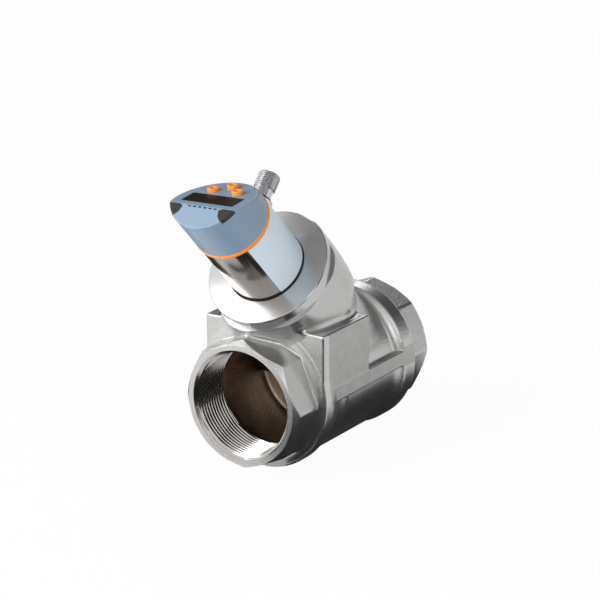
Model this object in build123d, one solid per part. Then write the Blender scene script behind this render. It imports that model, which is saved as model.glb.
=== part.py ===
from build123d import *

import os
from math import cos, radians, sin

os.makedirs("parts", exist_ok=True)

# Frame: millimetres, +Z up, the pipe runs along Y and the origin is the centre of the inlet mouth.
# The liquid enters at the origin, flows towards -Y and leaves at the outlet mouth.

# Pipe run of the cast body, from the crossing of the pipe's and the branch's axes
inlet_length = 38.5
outlet_length = 97.0
branch_angle = 45.0
thread_radius = 29.8
thread_length = 27.0
chamber_radius = 33.0
thread_runout = 4.0

# Octagonal ends for the pipe wrench
octagon_radius = 36.4
octagon_face_radius = 33.3
octagon_chamfer_depth = 3.3
inlet_octagon_root = 20.0
outlet_octagon_root = 76.0

# Round barrel, its two collars and the flat foot along its underside
barrel_radius = 36.4
inlet_collar_radius = 40.4
inlet_collar_start = 15.0
inlet_collar_end = 5.0
inlet_collar_sweep = 7.0
inlet_flare_end = 27.5
outlet_collar_radius = 41.0
outlet_collar_start = 71.0
outlet_collar_end = 79.5
outlet_collar_slope = 13.0
root_slope = 1.5
foot_half_width = 21.5
foot_radius = 39.4
foot_start = 3.0

# Square shoulders with the flat side pad
pad_reach = 39.5
plain_side_reach = 36.0
shoulder_start = 31.0
shoulder_end = 76.5
shoulder_top = 39.5
shoulder_bottom = -0.6
shoulder_corner = 2.2
shoulder_top_corner = 3.5
rib_top = 8.2

# Branch: a rounded hexagon under the bonnet, domed at its foot, on a narrower neck round the piston
hexagon_flat_radius = 34.2
hexagon_corner_radius = 36.0
hexagon_turn = 19.0
branch_top = 92.0
branch_bore_radius = 27.0
bore_shoulder = 60.0
dome_height = 72.0
neck_bore = 25.0
neck_casting_wall = 4.0

# Inclined seat between the inlet and the outlet chamber
seat_height = 14.0
seat_wall = 6.0
web_position = 27.0
web_wall = 6.0
seat_hole_radius = 22.5
seat_bore_radius = 19.0
seat_flange_radius = 24.5
seat_flange = 2.0
seat_land_chamfer = 0.6
seat_space = 1.0

# Piston
piston_travel = 13.5
piston_radius = 23.0
piston_disc = 4.0
piston_gap = 0.05
piston_edge = 0.8
guide_height = 2.0
guide_clearance = 0.4
piston_skirt = 9.0
skirt_end_radius = 15.5
hub_radius = 9.0
hub_root = 1.5
hub_reserve = 6.75
hub_floor = 3.0
hub_clearance = 0.08
seal_inner_radius = 19.6
seal_outer_radius = 22.4
seal_depth = 1.4
magnet_radius = 12.0
magnet_height = 6.0
magnet_position = 18.0
clip_radius = 11.2
clip_height = 1.2

# Return spring
spring_radius = 15.5
spring_wire = 0.9
spring_turns = 7

# Bonnet, the machined ring that closes the branch
bonnet_radius = 34.4
bonnet_height = 8.0
bonnet_chamfer = 0.8
shank_length = 22.0
shank_clearance = 0.03
shank_chamfer = 1.0
bonnet_floor = 6.0
bonnet_cavity_radius = 20.0
bonnet_lip = 10.0
neck_bore_radius = 17.0
bonnet_seal_depth = 2.0
bonnet_seal_height = 3.0
bonnet_seal_position = 5.0

# Sensor tube in the middle of the branch
tube_radius = 6.0
tube_wall = 0.8
tube_reserve = 1.25
tube_edge = 1.0
tube_flange_radius = 9.0
tube_flange = 2.0

# Swivelling head: neck, sleeve and rings
head_turn = 2.0
swivel_clearance = 0.1
neck_wall = 3.0
neck_length = 16.0
circlip_reach = 1.6
circlip_depth = 1.2
circlip_height = 1.0
circlip_gap = 4.0
base_seal_radius = 21.5
base_seal_height = 0.8
sleeve_radius = 21.1
sleeve_wall = 1.2
sleeve_length = 42.9
bush_height = 9.0
bush_floor = 3.0
bush_wall = 2.0
accent_radius = 21.5
accent_height = 2.6
accent_edge = 0.3
sleeve_spigot = 3.0
housing_spigot = 1.8

# Display housing with its two sloping tops
housing_radius = 21.2
housing_wall = 2.2
housing_height = 28.3
ridge_offset = 7.9
display_tilt = 40.5
window_width = 31.5
window_height = 12.4
window_start = 4.3
window_thick = 1.6
window_ledge = 1.5
module_height = 4.5
board_thick = 1.6
board_clearance = 1.6
board_start = 1.0
board_length = 32.0

# Buttons on the display slope
button_radius = 3.0
button_dimple = 1.05
button_dimple_depth = 1.3
button_proud = 1.5
button_clearance = 0.15
button_flange_radius = 3.9
button_flange = 0.8
button_travel = 0.8
button_edge = 0.5
dimple_edge = 0.3
button_side = 7.5
button_row = 22.0
button_middle = 29.3
switch_size = 4.2

# Light windows
led_count = 6
led_pitch = 3.14
led_first = -7.36
led_length = 1.7
led_width = 0.8
led_setback = 0.85
led_depth = 1.2
lens_depth = 2.4
lens_setback = 0.15
lens_length = 7.05
lens_inner = 10.9
lens_back_corner = (2.1, 1.15)
lens_front_corner = (2.2, 2.2)
lens_slant = 1.1

# Blank type foil on the sleeve
foil_start = -42.0
foil_end = 66.0
foil_thick = 0.15
foil_margin = 1.0

# Plug connector at the back of the sleeve
connector_rise = 28.7
connector_length = 15.3
connector_thread_length = 9.0
connector_radius = 6.0
connector_neck_radius = 5.1
connector_bore_radius = 4.4
connector_bore_depth = 7.0
connector_boss_radius = 7.4
connector_boss_rise = 2.1
connector_root_depth = 3.6
connector_relief = 0.8
connector_seal_width = 1.0
connector_seal_height = 1.0
carrier_height = 1.0
key_width = 1.2
key_depth = 0.9
key_clearance = 0.1
key_setback = 1.0
pin_radius = 0.5
pin_circle = 2.5
pin_count = 4
pin_length = 5.5

# Electronics in the head
main_board_clearance = 0.1
hall_board_width = 7.0
hall_board_thick = 1.2

# Places worked out from the sizes above
crossing = (0, -inlet_length, 0)
lean = radians(branch_angle)
pipe = Plane(origin=crossing, x_dir=(1, 0, 0), z_dir=(0, -1, 0))
branch = Plane(origin=crossing, x_dir=(1, 0, 0), z_dir=(0, -sin(lean), cos(lean)))
head = branch * Plane(origin=(0, 0, 0), z_dir=(0, 0, 1)).rotated((0, 0, head_turn))
far = 200.0
bonnet_top = branch_top + bonnet_height
shank_end = branch_top - shank_length
seat_top = seat_height + seat_flange
disc_bottom = seat_top + piston_gap + seal_depth / 2
disc_top = disc_bottom + piston_disc
hub_top = shank_end - hub_reserve - piston_travel
tube_end = disc_bottom + hub_floor + piston_travel + tube_reserve
skirt_bottom = disc_bottom - piston_skirt
sleeve_bottom = bonnet_top + base_seal_height
sleeve_top = sleeve_bottom + sleeve_length
housing_bottom = sleeve_top + accent_height
housing_top = housing_bottom + housing_height
ridge = Plane(origin=(0, -ridge_offset, housing_top), x_dir=(1, 0, 0), z_dir=(0, 0, 1))
slope_down = radians(display_tilt)
slope = Plane(
    origin=(0, -ridge_offset, housing_top),
    x_dir=(1, 0, 0),
    z_dir=(0, sin(slope_down), cos(slope_down)),
)
connector_side = Plane(origin=(0, 0, sleeve_bottom + connector_rise), x_dir=(1, 0, 0), z_dir=(0, 1, 0))
connector_root = sleeve_radius - connector_root_depth
connector_boss_end = sleeve_radius + connector_boss_rise
connector_end = connector_boss_end + connector_length
board_depth = window_thick + module_height


def rod(radius, low, high):
    """Upright cylinder between two heights."""
    return Pos(0, 0, low) * Cylinder(radius, high - low, align=(Align.CENTER, Align.CENTER, Align.MIN))


def ring(outer, inner, low, high):
    """Upright tube between two heights."""
    return rod(outer, low, high) - rod(inner, low, high)


def block(x_low, x_high, y_low, y_high, z_low, z_high):
    """Box between its two corners."""
    size = (x_high - x_low, y_high - y_low, z_high - z_low)
    return Pos(x_low, y_low, z_low) * Box(*size, align=(Align.MIN, Align.MIN, Align.MIN))


def turned(*profile):
    """Solid of revolution about the upright axis, from (radius, height) corners."""
    return revolve(Plane.XZ * make_face(Polyline(*profile, close=True)), Axis.Z)


def octagon_end(root, face):
    """Octagonal pipe end whose corners are turned off by a cone at its face."""
    length = face - root
    spread = 2 * octagon_radius
    prism = extrude(RegularPolygon(octagon_radius, 8), length)
    drop = octagon_chamfer_depth * (spread - octagon_face_radius) / (octagon_radius - octagon_face_radius)
    cone = turned((0, 0), (spread, 0), (spread, length - drop), (octagon_face_radius, length), (0, length))
    return Pos(0, 0, root) * (prism & cone)


def barrel():
    """Round run of the body: a flare, a collar with a hollow sweep, the barrel and the outlet's collar."""
    flare_radius = octagon_radius * cos(radians(22.5))
    sweep_start = inlet_collar_sweep - inlet_collar_end
    sweep = TangentArc(
        (barrel_radius, sweep_start),
        (inlet_collar_radius, -inlet_collar_end),
        tangent=(0, -1),
    )
    inlet_side = Polyline(
        (inlet_collar_radius, -inlet_collar_end),
        (inlet_collar_radius, -inlet_collar_start),
        (flare_radius, -inlet_flare_end),
        (0, -inlet_flare_end),
    )
    outlet_side = Polyline(
        (0, -inlet_flare_end),
        (0, outlet_collar_end + root_slope),
        (octagon_radius, outlet_collar_end + root_slope),
        (outlet_collar_radius, outlet_collar_end),
        (outlet_collar_radius, outlet_collar_start),
        (barrel_radius, outlet_collar_start - outlet_collar_slope),
        (barrel_radius, sweep_start),
    )
    return revolve(Plane.XZ * make_face(sweep + inlet_side + outlet_side), Axis.Z)


def foot():
    """Foot along the barrel's underside, as round as the collars below and with upright sides."""
    length = outlet_collar_start - foot_start
    bed = block(-foot_half_width, foot_half_width, -far, 0, foot_start, foot_start + length)
    return bed & rod(foot_radius, foot_start, foot_start + length)


def shoulders():
    """Square shoulders either side of the branch, with the flat pad on the +X side."""
    mass = block(-plain_side_reach, pad_reach, shoulder_bottom, shoulder_top, shoulder_start, shoulder_end)
    mass = fillet(mass.edges().filter_by(Axis.Z).group_by(Axis.Y)[-1], shoulder_top_corner)
    front = mass.edges().group_by(Axis.Z)[-1].filter_by(Axis.Y)
    return fillet(front, shoulder_corner)


def rib():
    """Level rib that carries the pad's face back to the inlet collar."""
    return block(0, pad_reach, shoulder_bottom, rib_top, -inlet_collar_end, shoulder_start)


def hexagon_branch():
    """Branch casting: a hexagon rounded off by a cylinder with a domed foot, and the neck below it."""
    outline = Rot(0, 0, hexagon_turn) * RegularPolygon(hexagon_flat_radius, 6, major_radius=False)
    prism = extrude(outline, branch_top)
    rounding = rod(hexagon_corner_radius, dome_height, branch_top)
    rounding += Pos(0, 0, dome_height) * Sphere(hexagon_corner_radius)
    return (prism & rounding) + rod(neck_bore + neck_casting_wall, 0, dome_height)


def flow_space():
    """Hollow of the body: the chambers on both sides of the inclined seat wall and the branch bore."""
    inlet_thread_end = thread_length - inlet_length
    outlet_thread_end = outlet_length - thread_length
    chamber = pipe * turned(
        (0, inlet_thread_end),
        (thread_radius, inlet_thread_end),
        (chamber_radius, inlet_thread_end + thread_runout),
        (chamber_radius, outlet_thread_end - thread_runout),
        (thread_radius, outlet_thread_end),
        (0, outlet_thread_end),
    )
    seat_back = seat_height - seat_wall
    below_seat = branch * block(-far, far, -far, far, seat_back - far, seat_back)
    below_face = branch * block(-far, far, -far, far, seat_height - far, seat_height)
    behind_web = pipe * block(-far, far, -far, far, web_position - web_wall - far, web_position - web_wall)
    behind_face = pipe * block(-far, far, -far, far, web_position - far, web_position)
    inlet_chamber = chamber & (below_seat & behind_web)
    outlet_chamber = chamber - (below_face & behind_face)
    bore = rod(neck_bore, seat_height, branch_top) + rod(branch_bore_radius, bore_shoulder, branch_top)
    return inlet_chamber + outlet_chamber + branch * bore


def valve_body():
    """Cast body with its threaded ends, shoulders, leaning branch and inclined seat wall."""
    run = barrel() + foot() + rib() + shoulders()
    run += octagon_end(outlet_octagon_root, outlet_length)
    run += mirror(octagon_end(inlet_octagon_root, inlet_length), Plane.XY)
    cast = pipe * run + branch * hexagon_branch()
    cast -= flow_space()
    cast -= pipe * rod(thread_radius, outlet_length - thread_length, outlet_length)
    cast -= pipe * rod(thread_radius, -inlet_length, thread_length - inlet_length)
    cast -= branch * rod(seat_hole_radius, seat_height - seat_wall - seat_space, seat_height + seat_space)
    return cast


def seat_ring():
    """Seat pressed into the inclined wall, with a raised land for the piston's seal."""
    return branch * turned(
        (seat_bore_radius, seat_height - seat_wall),
        (seat_hole_radius, seat_height - seat_wall),
        (seat_hole_radius, seat_height),
        (seat_flange_radius, seat_height),
        (seat_flange_radius, seat_top - seat_land_chamfer),
        (seal_outer_radius, seat_top),
        (seal_inner_radius, seat_top),
        (seat_bore_radius, seat_top - seat_land_chamfer),
    )


def piston():
    """Piston: a metering cone below, a disc over the seat and a hub that slides on the sensor tube."""
    bore = tube_radius + hub_clearance
    guide = seat_bore_radius - guide_clearance
    groove = seal_depth / 2
    return branch * turned(
        (0, skirt_bottom),
        (skirt_end_radius, skirt_bottom),
        (guide, disc_bottom - guide_height),
        (guide, disc_bottom),
        (seal_inner_radius, disc_bottom),
        (seal_inner_radius, disc_bottom + groove),
        (seal_outer_radius, disc_bottom + groove),
        (seal_outer_radius, disc_bottom),
        (piston_radius, disc_bottom),
        (piston_radius, disc_top - piston_edge),
        (piston_radius - piston_edge, disc_top),
        (hub_radius + hub_root, disc_top),
        (hub_radius, disc_top + hub_root),
        (hub_radius, hub_top),
        (bore, hub_top),
        (bore, disc_bottom + hub_floor),
        (0, disc_bottom + hub_floor),
    )


def piston_seal():
    """Flat sealing ring in the underside of the piston's disc."""
    half = seal_depth / 2
    return branch * ring(seal_outer_radius, seal_inner_radius, disc_bottom - half, disc_bottom + half)


def piston_magnet():
    """Ring magnet round the piston's hub."""
    low = disc_top + magnet_position
    return branch * ring(magnet_radius, hub_radius, low, low + magnet_height)


def magnet_clip(above):
    """Retaining washer on one side of the magnet."""
    low = disc_top + magnet_position + (magnet_height if above else -clip_height)
    return branch * ring(clip_radius, hub_radius, low, low + clip_height)


def return_spring():
    """Compression spring between the piston's disc and the bonnet."""
    low = disc_top + spring_wire
    high = shank_end - spring_wire
    path = Pos(0, 0, low) * Helix((high - low) / spring_turns, high - low, spring_radius)
    section = Plane(origin=path @ 0, z_dir=path % 0) * RegularPolygon(spring_wire, 8)
    return branch * sweep(section, path=path, is_frenet=True)


def bonnet():
    """Turned bonnet: a flange on the branch, a shank in its bore and a stepped hole for the head."""
    shank = branch_bore_radius - shank_clearance
    groove = branch_bore_radius - bonnet_seal_depth
    seal_low = shank_end + bonnet_seal_position
    seal_high = seal_low + bonnet_seal_height
    return branch * turned(
        (tube_radius, shank_end),
        (shank - shank_chamfer, shank_end),
        (shank, shank_end + shank_chamfer),
        (shank, seal_low),
        (groove, seal_low),
        (groove, seal_high),
        (shank, seal_high),
        (shank, branch_top),
        (bonnet_radius, branch_top),
        (bonnet_radius, bonnet_top - bonnet_chamfer),
        (bonnet_radius - bonnet_chamfer, bonnet_top),
        (neck_bore_radius, bonnet_top),
        (neck_bore_radius, bonnet_top - bonnet_lip),
        (bonnet_cavity_radius, bonnet_top - bonnet_lip),
        (bonnet_cavity_radius, shank_end + bonnet_floor),
        (tube_radius, shank_end + bonnet_floor),
    )


def bonnet_seal():
    """Sealing ring in the shank's groove."""
    low = shank_end + bonnet_seal_position
    inner = branch_bore_radius - bonnet_seal_depth
    return branch * ring(branch_bore_radius, inner, low, low + bonnet_seal_height)


def sensor_tube():
    """Closed tube that guides the piston and holds the magnetic pickup."""
    floor = shank_end + bonnet_floor
    bore = tube_radius - tube_wall
    return branch * turned(
        (0, tube_end),
        (tube_radius - tube_edge, tube_end),
        (tube_radius, tube_end + tube_edge),
        (tube_radius, floor),
        (tube_flange_radius, floor),
        (tube_flange_radius, floor + tube_flange),
        (bore, floor + tube_flange),
        (bore, tube_end + tube_wall),
        (0, tube_end + tube_wall),
    )


def hall_board():
    """Narrow board with the magnetic pickup, standing in the sensor tube."""
    half = hall_board_width / 2
    low = tube_end + tube_wall
    high = shank_end + bonnet_floor + tube_flange
    return branch * block(-half, half, -hall_board_thick / 2, hall_board_thick / 2, low, high)


def neck():
    """Swivel neck of the head: a tube in the bonnet and the plug that closes the sleeve's foot."""
    outer = neck_bore_radius - swivel_clearance
    inner = outer - neck_wall
    low = bonnet_top - neck_length
    clip_high = bonnet_top - bonnet_lip - swivel_clearance
    clip_low = clip_high - circlip_height
    bore = sleeve_radius - sleeve_wall
    return head * turned(
        (inner, low),
        (outer, low),
        (outer, clip_low),
        (outer - circlip_depth, clip_low),
        (outer - circlip_depth, clip_high),
        (outer, clip_high),
        (outer, sleeve_bottom),
        (bore, sleeve_bottom),
        (bore, sleeve_bottom + bush_height),
        (bore - bush_wall, sleeve_bottom + bush_height),
        (bore - bush_wall, sleeve_bottom + bush_floor),
        (inner, sleeve_bottom + bush_floor),
    )


def neck_circlip():
    """Split ring in the neck's groove, under the bonnet's lip."""
    high = bonnet_top - bonnet_lip - swivel_clearance
    groove = neck_bore_radius - swivel_clearance - circlip_depth
    full = ring(neck_bore_radius + circlip_reach, groove, high - circlip_height, high)
    half = circlip_gap / 2
    return head * (full - block(0, far, -half, half, high - circlip_height, high))


def base_seal():
    """Black ring between the bonnet and the sleeve."""
    return head * ring(base_seal_radius, neck_bore_radius - swivel_clearance, bonnet_top, sleeve_bottom)


def sensor_sleeve():
    """Steel sleeve of the head, drilled at the back for the connector."""
    tube = ring(sleeve_radius, sleeve_radius - sleeve_wall, sleeve_bottom, sleeve_top)
    hole = connector_side * rod(connector_neck_radius, 0, far)
    return head * (tube - hole)


def type_foil():
    """Blank foil wrapped on the sleeve."""
    low = sleeve_bottom + foil_margin
    high = sleeve_top - foil_margin
    outer = Pos(0, 0, low) * Cylinder(
        sleeve_radius + foil_thick,
        high - low,
        arc_size=foil_end - foil_start,
        align=(Align.NONE, Align.NONE, Align.MIN),
    )
    return head * (Rot(0, 0, foil_start) * outer - rod(sleeve_radius, low, high))


def accent_ring():
    """Coloured ring between the sleeve and the display housing, spigoted into both."""
    bore = sleeve_radius - sleeve_wall
    inner = bore - housing_wall
    socket = housing_radius - housing_wall
    return head * turned(
        (inner, sleeve_top - sleeve_spigot),
        (bore, sleeve_top - sleeve_spigot),
        (bore, sleeve_top),
        (accent_radius - accent_edge, sleeve_top),
        (accent_radius, sleeve_top + accent_edge),
        (accent_radius, housing_bottom - accent_edge),
        (accent_radius - accent_edge, housing_bottom),
        (socket, housing_bottom),
        (socket, housing_bottom + housing_spigot),
        (inner, housing_bottom + housing_spigot),
    )


def below_tops(offset):
    """Space under the two sloping tops, set back by an offset."""
    under_ridge = ridge * block(-far, far, -far, far, -far, -offset)
    under_slope = slope * block(-far, far, -far, far, -far, -offset)
    return under_ridge & under_slope


def button_places():
    """Centres of the three buttons on the slope: across, and down from the ridge."""
    return {
        "set": (0, button_middle),
        "down": (-button_side, button_row),
        "up": (button_side, button_row),
    }


def on_slope(across, down):
    """Place on the display slope; the plane's own y axis runs down from the ridge."""
    return slope * Pos(across, down, 0)


def lens_outline():
    """Corner window's outline on the upper top: a polygon that runs out to the housing's edge."""
    back = -ridge_offset - lens_setback
    front = back - lens_length
    points = [
        (lens_inner, back - lens_back_corner[1]),
        (lens_inner + lens_back_corner[0], back),
        (housing_radius, back),
        (housing_radius, front),
        (lens_inner + lens_slant + lens_front_corner[0], front),
        (lens_inner + lens_slant, front + lens_front_corner[1]),
    ]
    return make_face(Polyline(*points, close=True)) & Circle(housing_radius)


def status_lens(side):
    """Smoky corner window; side is +1 on the right and -1 on the left."""
    solid = extrude(lens_outline(), lens_depth)
    solid = Pos(0, 0, housing_top - lens_depth) * solid
    return head * (solid if side > 0 else mirror(solid, Plane.YZ))


def led_places():
    """Centres of the row of small lights along the ridge."""
    row = -ridge_offset - led_setback
    return [(led_first + led_pitch * i, row) for i in range(led_count)]


def status_leds():
    """Row of small light windows in the upper top."""
    lights = [
        Pos(x, y, housing_top - led_depth) * extrude(SlotOverall(led_length, led_width), led_depth)
        for x, y in led_places()
    ]
    return head * Compound(children=lights)


def window_solid(low, high, margin):
    """Prism of the display window below the slope."""
    half = window_width / 2 + margin
    top = window_start - margin
    return slope * block(-half, half, top, top + window_height + 2 * margin, low, high)


def display_housing():
    """Hollow plastic cap with two sloping tops, openings for the window, the lights and the buttons."""
    shell = rod(housing_radius, housing_bottom, housing_top + 1) & below_tops(0)
    hollow = rod(housing_radius - housing_wall, housing_bottom, housing_top) & below_tops(housing_wall)
    shell -= hollow
    shell -= window_solid(-window_thick, 1, 0)
    shell -= window_solid(-housing_wall - 1, 0, -window_ledge)
    for across, down in button_places().values():
        shell -= on_slope(across, down) * rod(button_radius + button_clearance, -housing_wall - 1, 1)
    for side in (1, -1):
        prism = Pos(0, 0, housing_top - lens_depth) * extrude(lens_outline(), lens_depth)
        shell -= prism if side > 0 else mirror(prism, Plane.YZ)
    for x, y in led_places():
        shell -= Pos(x, y, housing_top - led_depth) * extrude(SlotOverall(led_length, led_width), led_depth)
    return head * shell


def display_window():
    """Dark flush window over the display."""
    return head * window_solid(-window_thick, 0, 0)


def display_module():
    """Display block between the window and the board."""
    half = window_width / 2 - window_ledge
    low = window_start + window_ledge
    high = window_start + window_height - window_ledge
    return head * (slope * block(-half, half, low, high, -board_depth, -window_thick))


def display_board():
    """Board parallel to the slope that carries the display and the switches."""
    board_end = board_start + board_length
    radius = housing_radius - housing_wall - board_clearance
    plate = slope * block(-far, far, board_start, board_end, -board_depth - board_thick, -board_depth)
    return head * (plate & rod(radius, 0, housing_top))


def button(across, down):
    """Ring-shaped push button with a dark dimple, a collar under the housing and a stem to its switch."""
    body = turned(
        (0, button_proud - button_dimple_depth),
        (button_dimple, button_proud - button_dimple_depth),
        (button_dimple, button_proud - dimple_edge),
        (button_dimple + dimple_edge, button_proud),
        (button_radius - button_edge, button_proud),
        (button_radius, button_proud - button_edge),
        (button_radius, -housing_wall),
        (button_flange_radius, -housing_wall),
        (button_flange_radius, -housing_wall - button_flange),
        (0, -housing_wall - button_flange),
    )
    return head * (on_slope(across, down) * body)


def button_switches():
    """Snap switches on the board, one under each button."""
    half = switch_size / 2
    top = -housing_wall - button_flange - button_travel - piston_gap
    body = block(-half, half, -half, half, -board_depth, top)
    return head * Compound(children=[on_slope(x, y) * body for x, y in button_places().values()])


def main_board():
    """Round board low in the sleeve, resting on the foot's rim."""
    low = sleeve_bottom + bush_height
    return head * rod(sleeve_radius - sleeve_wall - main_board_clearance, low, low + board_thick)


def connector_shell():
    """Threaded metal connector with its saddle boss on the sleeve."""
    thread_start = connector_end - connector_thread_length
    body = turned(
        (0, connector_root),
        (connector_neck_radius, connector_root),
        (connector_neck_radius, thread_start - connector_relief),
        (connector_radius, thread_start),
        (connector_radius, connector_end),
        (connector_bore_radius, connector_end),
        (connector_bore_radius, connector_end - connector_bore_depth),
        (0, connector_end - connector_bore_depth),
    )
    boss = rod(connector_boss_radius, connector_root, connector_boss_end)
    boss = connector_side * boss - rod(sleeve_radius, 0, 2 * far)
    return head * (connector_side * body + boss)


def connector_insert():
    """Plastic pin carrier in the connector, with a raised polarising key."""
    low = connector_end - connector_bore_depth
    high = low + carrier_height
    disc = rod(connector_bore_radius, low, high)
    key_top = connector_bore_radius - key_clearance
    half = key_width / 2
    key = block(-half, half, key_top - key_depth, key_top, low, connector_end - key_setback)
    carrier = disc + key
    for spot in pin_places():
        carrier -= spot * rod(pin_radius, low, high)
    return head * (connector_side * carrier)


def pin_places():
    """Places of the contact pins round the connector's axis."""
    return [Rot(0, 0, 45 + i * 360 / pin_count) * Pos(pin_circle, 0, 0) for i in range(pin_count)]


def connector_pins():
    """Contact pins."""
    low = connector_end - connector_bore_depth
    pins = [spot * rod(pin_radius, low, low + pin_length) for spot in pin_places()]
    return head * (connector_side * Compound(children=pins))


def connector_seal():
    """Rubber ring round the connector's neck, on the boss."""
    outer = connector_neck_radius + connector_seal_width
    low = connector_boss_end
    return head * (connector_side * ring(outer, connector_neck_radius, low, low + connector_seal_height))


parts = {
    "valve_body": valve_body(),
    "seat_ring": seat_ring(),
    "piston": piston(),
    "piston_seal": piston_seal(),
    "piston_magnet": piston_magnet(),
    "magnet_clip_lower": magnet_clip(False),
    "magnet_clip_upper": magnet_clip(True),
    "return_spring": return_spring(),
    "bonnet": bonnet(),
    "bonnet_seal": bonnet_seal(),
    "sensor_tube": sensor_tube(),
    "hall_board": hall_board(),
    "swivel_neck": neck(),
    "neck_circlip": neck_circlip(),
    "base_seal": base_seal(),
    "sensor_sleeve": sensor_sleeve(),
    "type_foil": type_foil(),
    "accent_ring": accent_ring(),
    "display_housing": display_housing(),
    "display_window": display_window(),
    "display_module": display_module(),
    "display_board": display_board(),
    "button_switches": button_switches(),
    "main_board": main_board(),
    "status_lens_right": status_lens(1),
    "status_lens_left": status_lens(-1),
    "status_leds": status_leds(),
    "connector_shell": connector_shell(),
    "connector_insert": connector_insert(),
    "connector_pins": connector_pins(),
    "connector_seal": connector_seal(),
}
for label, (across, down) in button_places().items():
    parts[label + "_button"] = button(across, down)

for name, shape in parts.items():
    export_step(shape, f"parts/{name}.step")
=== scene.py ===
# %% [markdown]
# A flow sensor for a two inch pipe: a cast steel body shaped like a leaning Y, a turned ring that
# closes the leaning arm, and on it a head that swivels, with a display, three buttons and a plug.
# The solids come packed, in metres, and this script dresses them. It starts by loading them.

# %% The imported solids
import math

import bmesh
import bpy
import numpy as np
from mathutils import Matrix


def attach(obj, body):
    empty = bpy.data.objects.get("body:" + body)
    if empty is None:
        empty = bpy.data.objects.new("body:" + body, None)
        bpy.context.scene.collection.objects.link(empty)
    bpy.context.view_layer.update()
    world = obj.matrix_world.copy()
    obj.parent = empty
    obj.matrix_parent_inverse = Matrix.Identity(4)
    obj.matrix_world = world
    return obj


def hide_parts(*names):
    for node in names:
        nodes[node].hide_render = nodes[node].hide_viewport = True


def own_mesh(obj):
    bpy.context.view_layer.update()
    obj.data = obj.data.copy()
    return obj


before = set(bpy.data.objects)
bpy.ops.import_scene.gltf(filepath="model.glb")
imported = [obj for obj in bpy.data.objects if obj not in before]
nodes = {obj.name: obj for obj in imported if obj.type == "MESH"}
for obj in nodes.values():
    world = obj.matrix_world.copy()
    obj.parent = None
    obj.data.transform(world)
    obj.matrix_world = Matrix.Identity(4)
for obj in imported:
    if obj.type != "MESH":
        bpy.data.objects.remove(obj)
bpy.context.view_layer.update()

# %% [markdown]
# Two axes carry the whole object: the pipe's, and the arm's, which leans 45 degrees against the flow.
# Every size below is in millimetres along one of the two, counted from the point where they cross,
# so a piece is drawn upright in its own axes first and is put in place at the end.

# %% Axes of the pipe, the arm and the head
MM = 0.001
inlet_length = 38.5
outlet_length = 97.0
lean = math.radians(45.0)
head_turn = math.radians(2.0)
across = np.array([1.0, 0.0, 0.0])
arm_axis = np.array([0.0, -math.sin(lean), math.cos(lean)])
arm_back = np.array([0.0, math.cos(lean), math.sin(lean)])
crossing = np.array([0.0, -inlet_length, 0.0])
pipe_axes = np.array([across, [0.0, 0.0, 1.0], [0.0, -1.0, 0.0]])
arm_axes = np.array([across, arm_back, arm_axis])
head_across = math.cos(head_turn) * across + math.sin(head_turn) * arm_back
head_back = -math.sin(head_turn) * across + math.cos(head_turn) * arm_back
head_axes = np.array([head_across, head_back, arm_axis])


def place(points, axes, origin=crossing):
    """Turns local millimetres into metres: origin plus each coordinate times its axis."""
    return (np.asarray(points, float) @ axes + origin) * MM


# %% [markdown]
# The camera stands where the photographer's did: a long lens, a third of a right angle round to the
# right and a little above. With a lens this long the object is drawn almost without perspective.

# %% Camera
camera_azimuth = math.radians(33.568)
camera_elevation = math.radians(17.978)
camera_roll = math.radians(-0.431)
camera_distance = 1500.3
camera_aside = (21.73, -30.65)
focal_pixels = 2687.0
image_pixels = 600.0
sensor_width = 36.0

flat = math.cos(camera_elevation)
towards = np.array([
    math.sin(camera_azimuth) * flat, -math.cos(camera_azimuth) * flat, math.sin(camera_elevation),
])
level = np.array([math.cos(camera_azimuth), math.sin(camera_azimuth), 0.0])
upright = np.cross(towards, level)
view_right = math.cos(camera_roll) * level + math.sin(camera_roll) * upright
view_up = -math.sin(camera_roll) * level + math.cos(camera_roll) * upright
eye = crossing + camera_distance * towards - camera_aside[0] * view_right - camera_aside[1] * view_up

scene = bpy.context.scene
camera_data = bpy.data.cameras.new("camera")
camera_data.sensor_width = sensor_width
camera_data.lens = focal_pixels / image_pixels * sensor_width
camera_data.clip_start = 0.05
camera_data.clip_end = 20.0
camera = bpy.data.objects.new("camera", camera_data)
scene.collection.objects.link(camera)
turn = np.eye(4)
turn[:3, 0], turn[:3, 1], turn[:3, 2], turn[:3, 3] = view_right, view_up, towards, eye * MM
camera.matrix_world = Matrix(turn.tolist())
scene.camera = camera
print("lens", round(camera_data.lens, 2), "eye", np.round(eye * MM, 3))

# %% [markdown]
# The object was photographed in a white tent. The world is white for every ray that is seen, also in
# a reflection, but it lights plain surfaces less strongly, so that colours render as they are written.
# The floor is white in the same way and keeps a trace of the object's shadow.

# %% World and floor
floor_height = -41.2
floor_half = 4.0
fill_strength = 0.45
floor_glow = 0.96
floor_glow_in_metal = 0.35


CARD_CORNERS = ((-1, -1), (1, -1), (1, 1), (-1, 1))


def seen_rays(tree, in_metal=1.0):
    """Factor for the rays that are seen: 1 for camera and transmission rays, in_metal for glossy rays."""
    path = tree.nodes.new("ShaderNodeLightPath")
    glossy = tree.nodes.new("ShaderNodeMath")
    glossy.operation = "MULTIPLY"
    glossy.inputs[1].default_value = in_metal
    tree.links.new(path.outputs["Is Glossy Ray"], glossy.inputs[0])
    total = glossy.outputs[0]
    for name in ("Is Camera Ray", "Is Transmission Ray"):
        larger = tree.nodes.new("ShaderNodeMath")
        larger.operation = "MAXIMUM"
        tree.links.new(total, larger.inputs[0])
        tree.links.new(path.outputs[name], larger.inputs[1])
        total = larger.outputs[0]
    return total


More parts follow.
